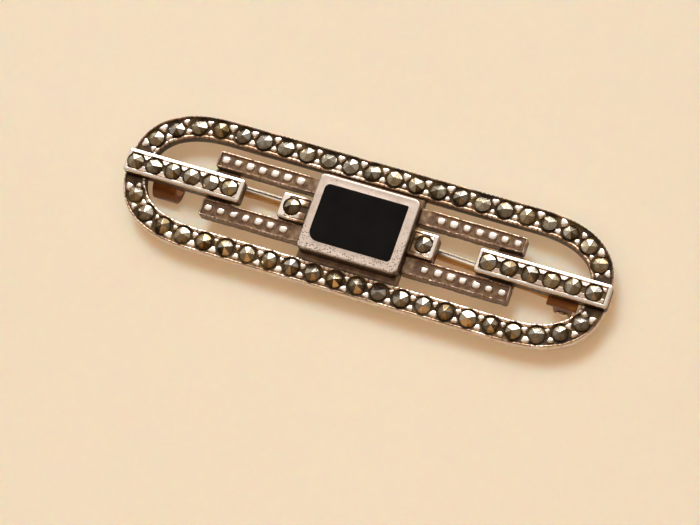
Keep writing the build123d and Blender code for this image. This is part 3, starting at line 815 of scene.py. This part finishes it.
def beaded(side, low, high):
    """Thin ticked rims beside a sunk bed with a row of pillow-shaped grains. The bed runs out flat
    towards the bezel."""
    sign, outer_x = (-1, low[0]) if side == "left" else (1, high[0])
    y_mid = (low[1] + high[1]) / 2
    local = random.Random(outer_x * 7 + y_mid)
    pillows = []
    for k in range(BEADS):
        px = outer_x - sign * (FIRST_BEAD + BEAD_PITCH * k) + local.uniform(-0.04, 0.04)
        py = y_mid + local.uniform(-0.03, 0.03)
        pillows.append((px, py, local.uniform(0.9, 1.08)))
    flat_from = outer_x - sign * (FIRST_BEAD + BEAD_PITCH * (BEADS - 1) + 0.75)

    def relief(x, y, e, top):
        sides = np.minimum(y - low[1], high[1] - y)
        near = np.minimum(sides, sign * (outer_x - x))
        flat = smooth_step(sign * (flat_from - x), 0.0, 0.5)
        z = np.full_like(x, top - 0.17) + 0.015 * np.sin(x * 7.1) * np.sin(y * 6.3 + 0.7)
        rim = smooth_step(0.2 + wobble(x, 5, 0.015, 6.0) - near, -0.05, 0.06) * (1 - flat)
        ticks = dashes(x + 0.3 * y, 0.4, 0.07, 8)
        z = z + 0.17 * rim * (0.8 + 0.2 * ticks) + 0.08 * flat
        tarnish_and_shading = 0.84 - 0.5 * rim * (0.3 + 0.7 * ticks) - 0.12 * flat
        for px, py, size in pillows:
            dx, dy = np.abs(x - px) / (0.43 * size), np.abs(y - py) / (0.4 * size)
            q = dx**2.5 + dy**2.5
            hump = np.clip(1 - q, 0, 1) ** 0.7
            z = np.maximum(z, top - 0.2 + 0.2 * hump)
            here = smooth_step(1.35 - q, 0.0, 0.35)
            # each pillow is painted lighter on its top and on its upper (+Y) side: a painted highlight
            tone = 0.62 - 0.6 * smooth_step(hump + 0.5 * (y - py), 0.3, 0.85)
            tarnish_and_shading = tarnish_and_shading * (1 - here) + here * tone
        return z, tarnish_and_shading

    return relief


for side in ("left", "right"):
    for level in ("upper", "lower"):
        node = f"{level}_{side}_beaded_bar"
        relief_box(
            node, beaded(side, *box_mm(node)), RUBBED,
            wall_tone=0.7, corner=0.2, edge=0.09, drop=0.05, rough=0.09,
        )


def plain_top(tone):
    """A hand-finished flat with soft hollows."""

    def relief(x, y, e, top):
        z = top - 0.02 * (0.5 + 0.5 * np.sin(x * 2.3 + 0.4) * np.sin(y * 2.9 + 1.1))
        return z, np.full_like(x, tone) - 0.2 * (1 - smooth_step(e, 0.05, 0.15))

    return relief


for side in ("left", "right"):
    relief_box(
        f"{side}_cross_strip", plain_top(0.75), RUBBED,
        step=0.1, corner=0.06, edge=0.05, drop=0.05, wall_tone=0.8,
    )
relief_box(
    "base_plate", plain_top(0.8), RUBBED,
    step=0.12, corner=0.05, edge=0.04, drop=0.04, wall_tone=0.8,
)


# ------------ bezel and onyx
ONYX_RADII = (0.14, 0.5, 0.95, 0.36)
BEZEL_RADII = (0.6, 0.42, 0.4, 0.7)


def plan(low, high):
    """A box's centre and its half sides, seen from above."""
    return (low[:2] + high[:2]) / 2, (high[:2] - low[:2]) / 2


def rounded_loop(centre, half, radii, per_corner=14, per_side=26):
    """Points round a rectangle whose corners have their own radii, from the +X +Y corner on."""
    corners = [(1, 1), (-1, 1), (-1, -1), (1, -1)]
    arcs = []
    for k, ((sx, sy), r) in enumerate(zip(corners, radii)):
        t = k * math.pi / 2 + np.linspace(0, math.pi / 2, per_corner)
        arcs.append(np.column_stack([sx * (half[0] - r) + r * np.cos(t), sy * (half[1] - r) + r * np.sin(t)]))
    points = []
    for k, arc in enumerate(arcs):
        begin, end = arc[-1], arcs[(k + 1) % len(arcs)][0]
        share = np.linspace(0, 1, per_side + 2)[1:-1, None]
        points += [arc, begin + (end - begin) * share]
    return np.concatenate(points) + centre


def build_bezel():
    """The bezel: rings of points up its outer wall, over its flat top and down inside it. Pits
    crowd towards the two lower corners and along the lower side."""
    low, high = box_mm("centre_bezel")
    centre, half = plan(low, high)
    hole_centre, hole_half = plan(*box_mm("onyx"))
    hole_half = hole_half + 0.01
    height = high[2] - low[2]
    rings = []
    for grow, level, tone in (
        (0.0, 0.0, 0.85), (0.0, 0.25, 0.8), (0.0, 0.6, 0.6), (0.0, 0.85, 0.42), (0.0, 0.93, 0.22),
        (-0.03, 0.972, 0.08), (-0.08, 0.99, 0.0), (-0.15, 1.0, 0.0),
    ):
        loop = rounded_loop(centre, half + grow, [r + grow for r in BEZEL_RADII])
        rings.append((loop, low[2] + level * height, tone))
    outer_top = rings[-1][0]
    inner_top = rounded_loop(hole_centre, hole_half + 0.01, [r + 0.01 for r in ONYX_RADII])
    for share in np.linspace(0, 1, 9)[1:]:
        loop = outer_top * (1 - share) + inner_top * share
        rings.append((loop, high[2] - 0.012 * math.sin(math.pi * share), 0.0))
    for level, tone in ((0.985, 0.35), (0.9, 0.9), (0.0, 0.9)):
        rings.append((rounded_loop(hole_centre, hole_half, ONYX_RADII), low[2] + level * height, tone))
    n = len(outer_top)
    verts = np.concatenate([np.column_stack([loop, np.full(n, z)]) for loop, z, _ in rings])
    tones = np.repeat([tone for _, _, tone in rings], n)
    above_low = verts[:, 1] - low[1]
    to_corner = np.hypot(np.minimum(np.abs(verts[:, 0] - low[0]), np.abs(verts[:, 0] - high[0])), above_low)
    pitting = np.maximum(np.clip(1.3 - to_corner / 2.6, 0, 1), np.clip(0.75 - above_low / 1.6, 0, 0.6))
    make_piece(
        "centre_bezel_silver", verts, grid_faces(len(rings), n, True, True), BEZEL,
        replaced=["centre_bezel"], values={"tarnish_and_shading": tones, "pitting": pitting}, sharp=45.0,
    )


def build_onyx():
    """The onyx: rings up its wall, over a small worn edge, and in to its middle."""
    low, high = box_mm("onyx")
    centre, half = plan(low, high)
    height = high[2] - low[2]
    rings = []
    for grow, level in ((0.0, 0.0), (0.0, 0.5), (0.0, 0.975), (-0.012, 0.992), (-0.045, 1.0)):
        radii = [max(r + grow, 0.02) for r in ONYX_RADII]
        rings.append((rounded_loop(centre, half + grow, radii), low[2] + level * height))
    last = rings[-1][0]
    for share in (0.85, 0.6, 0.35, 0.12):
        rings.append((centre + (last - centre) * share, high[2]))
    n = len(last)
    verts = np.concatenate([np.column_stack([loop, np.full(n, z)]) for loop, z in rings])
    faces = grid_faces(len(rings), n, False, True)
    faces.append(list(range((len(rings) - 1) * n, len(rings) * n)))
    faces.append(list(range(n))[::-1])
    make_piece("onyx_stone", verts, faces, ONYX, replaced=["onyx"], sharp=50.0)


build_bezel()
build_onyx()


# ------------ findings on the back
def softened(node, width, tone):
    """A copy of a CAD node's shape with its edges worn round."""
    piece = bpy.data.objects.new(f"{node}_silver", frame["nodes"][node].data.copy())
    piece.data.materials.clear()
    bpy.context.scene.collection.objects.link(piece)
    bm = bmesh.new()
    bm.from_mesh(piece.data)
    bmesh.ops.remove_doubles(bm, verts=bm.verts, dist=0.0005 * MM)
    bmesh.ops.dissolve_limit(bm, angle_limit=math.radians(0.5), verts=bm.verts, edges=bm.edges)
    edges = [e for e in bm.edges if len(e.link_faces) == 2 and e.calc_face_angle(0) > math.radians(40)]
    bmesh.ops.bevel(
        bm, geom=edges, offset=width * MM, segments=3, profile=0.6, affect="EDGES", clamp_overlap=True,
    )
    bm.to_mesh(piece.data)
    bm.free()
    layer = piece.data.attributes.new("tarnish_and_shading", "FLOAT", "POINT")
    layer.data.foreach_set("value", [tone] * len(piece.data.vertices))
    piece.data.polygons.foreach_set("use_smooth", [True] * len(piece.data.polygons))
    piece.data.set_sharp_from_angle(angle=math.radians(30))
    piece.data.materials.append(FINDINGS)
    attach(piece, "brooch")
    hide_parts(node)


# the bracket and the hook are darkened as painted shade under the frame; the rivet stays lighter
softened("hinge_bracket", 0.06, 0.95)
softened("hinge_rivet", 0.03, 0.3)
softened("catch_hook", 0.07, 0.9)


# ------------ stem
WIRE_R = 0.475
EYE_BORE_R, EYE_R, EYE_HALF = 0.4, 0.72, 0.75
EYE_STEPS = 48
TAPER_X = -15.5  # where the stem begins to taper to its point


def eye_profile():
    """The eye's section: the ridges of three turns of wire outside, and a plain bore inside. Each
    point is a place along the rivet and a radius."""
    profile = []
    for k in range(EYE_STEPS + 1):
        v = -EYE_HALF + 2 * EYE_HALF * k / EYE_STEPS
        ridge = abs(math.sin(math.pi * (v + EYE_HALF) / 0.5))
        profile.append((v, EYE_R - 0.09 * (1 - ridge**0.6)))
    mouth = [(EYE_HALF, EYE_BORE_R + 0.06), (EYE_HALF - 0.06, EYE_BORE_R)]
    return profile + mouth + [(-v, r) for v, r in reversed(mouth)]


def stem_line(root_x, root_y, tip_x):
    """The shaft's middle line in plan: a gentle bend from the eye to the hook's mouth."""
    bends = [(root_x, root_y), (0.0, 0.66), (TAPER_X, 1.08)]
    xs = []
    stops = [x for x, _ in bends] + [tip_x]
    for a, b in zip(stops, stops[1:]):
        count = max(2, int(abs(b - a) / 0.4))
        xs += [a + (b - a) * j / count for j in range(count)]
    xs = np.array(xs + [tip_x])
    return xs, np.polyval(np.polyfit([x for x, _ in bends], [y for _, y in bends], 2), xs)


def build_stem():
    """The stem: wire wound into a tight eye round the rivet, then drawn out to a point."""
    px, py, pz = (v / MM for v in frame["joints"][0]["pos_m"])
    tip_x = box_mm("pin_stem")[0][0]
    verts, tones = [], []
    profile = eye_profile()
    for k in range(EYE_STEPS):
        phi = 2 * math.pi * k / EYE_STEPS
        for v, r in profile:
            verts.append((px + r * math.cos(phi), py + v, pz + r * math.sin(phi)))
            tones.append(0.25 + 0.5 * (r < EYE_R - 0.05))
    faces = grid_faces(EYE_STEPS, len(profile), True, True)
    start = len(verts)
    sides = 20
    xs, ys = stem_line(px - 0.45, py + 0.03, tip_x)
    for x, y in zip(xs, ys):
        t = np.clip((TAPER_X - x) / (TAPER_X - tip_x), 0, 1)
        r = WIRE_R * (1 - t) ** 0.9 + 0.05 * t
        r = min(r * (1 + 0.012 * math.sin(x * 1.9) + 0.01 * math.sin(x * 4.7)), WIRE_R)
        for k in range(sides):
            phi = 2 * math.pi * k / sides
            verts.append((x, y + r * math.cos(phi), pz + r * math.sin(phi)))
            # a painted highlight along its upper side, and golden-brown tarnish with a painted reflection of
            # the shaded floor elsewhere
            worn = 0.5 + 0.5 * math.cos(phi - math.radians(60))
            tones.append(0.8 - 0.8 * smooth_step(worn, 0.8, 0.92))
    faces += grid_faces(len(xs), sides, False, True, start)
    faces.append([start + k for k in range(sides)])
    faces.append([start + (len(xs) - 1) * sides + k for k in reversed(range(sides))])
    make_piece(
        "pin_stem_silver", verts, faces, WIRE, body="stem",
        replaced=["pin_stem"], values={"tarnish_and_shading": tones}, sharp=40.0,
    )


build_stem()


# ------------ floor and light, in metres
FLOOR_HALF, FLOOR_CELLS = 0.9, 12


def build_floor():
    """A plain pale floor that light sinks into a little, as it does into wood."""
    line = np.linspace(-FLOOR_HALF, FLOOR_HALF, FLOOR_CELLS + 1)
    x, y = np.meshgrid(line, line, indexing="ij")
    points = np.stack([x, y, np.zeros_like(x)], -1).reshape(-1, 3)
    me = bpy.data.meshes.new("floor")
    me.from_pydata(points.tolist(), [], grid_faces(FLOOR_CELLS + 1, FLOOR_CELLS + 1))
    mat, kit, shader, where = new_material("pale_floor")
    cloud = kit.noise(where, 60.0, 3.0, 0.5)
    kit.feed(kit.ramp(cloud, [(0.2, (0.80, 0.70, 0.555)), (0.8, (0.83, 0.73, 0.585))]), shader["Base Color"])
    shader["Roughness"].default_value = 0.7
    shader["Specular IOR Level"].default_value = 0.2
    shader["Subsurface Weight"].default_value = 0.7
    shader["Subsurface Radius"].default_value = (1.0, 0.42, 0.16)
    shader["Subsurface Scale"].default_value = 0.0012
    me.materials.append(mat)
    floor = bpy.data.objects.new("floor", me)
    bpy.context.scene.collection.objects.link(floor)


def softbox(name, place, size, power, colour, lights_floor=True, shows_in_metal=True, shadow=True):
    """A rectangular soft light aimed at the brooch."""
    lamp = bpy.data.lights.new(name, "AREA")
    lamp.shape = "RECTANGLE"
    lamp.size, lamp.size_y = size
    lamp.energy = power
    lamp.color = colour
    lamp.use_shadow = shadow
    obj = bpy.data.objects.new(name, lamp)
    obj.location = place
    obj.rotation_mode = "QUATERNION"
    obj.rotation_quaternion = (-Vector(place)).to_track_quat("-Z", "Y")
    obj.visible_diffuse = lights_floor
    obj.visible_glossy = shows_in_metal
    bpy.context.scene.collection.objects.link(obj)


def build_room():
    """A room that shows in the metal only: brown below, and bright towards the window."""
    world = bpy.data.worlds.new("room")
    bpy.context.scene.world = world
    world.use_nodes = True
    world.cycles_visibility.diffuse = False
    kit = Kit(world.node_tree)
    facing = kit.nodes.new("ShaderNodeVectorMath")
    facing.operation = "DOT_PRODUCT"
    facing.inputs[1].default_value = (-0.3, 0.58, 0.76)
    kit.feed(kit.nodes.new("ShaderNodeTexCoord").outputs["Generated"], facing.inputs[0])
    span = kit.nodes.new("ShaderNodeMapRange")
    span.inputs["From Min"].default_value = -0.7
    span.inputs["From Max"].default_value = 1.0
    kit.feed(facing.outputs["Value"], span.inputs["Value"])
    table = [(0.0, (0.12, 0.05, 0.016)), (0.45, (0.14, 0.08, 0.036))]
    wall = [(0.66, (0.27, 0.21, 0.155)), (0.84, (0.74, 0.68, 0.62)), (1.0, (0.98, 0.93, 0.87))]
    background = kit.nodes["Background"].inputs
    kit.feed(kit.ramp(span.outputs["Result"], table + wall), background["Color"])
    background["Strength"].default_value = 1.0


build_floor()
softbox("window", (-0.09, 0.45, 0.26), (0.55, 0.42), 5.0, (1.0, 0.965, 0.92), lights_floor=False)
softbox("ceiling", (-0.05, 0.1, 0.6), (0.16, 0.16), 1.98, (0.56, 0.81, 1.0), shows_in_metal=False)
softbox("fill", (0.0, 0.0, 0.5), (0.7, 0.7), 3.04, (1.0, 0.757, 0.54), shows_in_metal=False, shadow=False)
softbox("warm_bounce", (0.08, -0.38, 0.21), (0.6, 0.22), 0.3, (1.0, 0.55, 0.24))
build_room()


# ------------ camera
# It stands at the photograph's viewing angle. The turns are in degrees, and the focal length is in
# pixels of a picture IMAGE_WIDTH_PX wide.
FOCAL_PX, IMAGE_WIDTH_PX, SENSOR_MM = 2964.0, 700, 36.0
AZIMUTH, ELEVATION, ROLL = (math.radians(v) for v in (40.94, 70.34, -23.02))
DISTANCE, OFFSET_RIGHT, OFFSET_UP = 259.91, 0.85, 3.15
TARGET = Vector((-0.42, 0.0, 4.2))


def build_camera():
    level = math.cos(ELEVATION)
    back = Vector((math.sin(AZIMUTH) * level, -math.cos(AZIMUTH) * level, math.sin(ELEVATION)))
    level_right = Vector((math.cos(AZIMUTH), math.sin(AZIMUTH), 0))
    level_up = back.cross(level_right)
    right = math.cos(ROLL) * level_right + math.sin(ROLL) * level_up
    up = -math.sin(ROLL) * level_right + math.cos(ROLL) * level_up
    eye = back * DISTANCE - right * OFFSET_RIGHT - up * OFFSET_UP + TARGET
    data = bpy.data.cameras.new("camera")
    data.sensor_width = SENSOR_MM
    data.lens = SENSOR_MM * FOCAL_PX / IMAGE_WIDTH_PX
    data.clip_start, data.clip_end = 0.01, 5.0
    camera = bpy.data.objects.new("camera", data)
    camera.matrix_world = Matrix.Translation(eye * MM) @ Matrix((right, up, back)).transposed().to_4x4()
    bpy.context.scene.collection.objects.link(camera)
    bpy.context.scene.camera = camera


build_camera()
bpy.context.scene.view_settings.view_transform = "Standard"

bpy.context.view_layer.update()
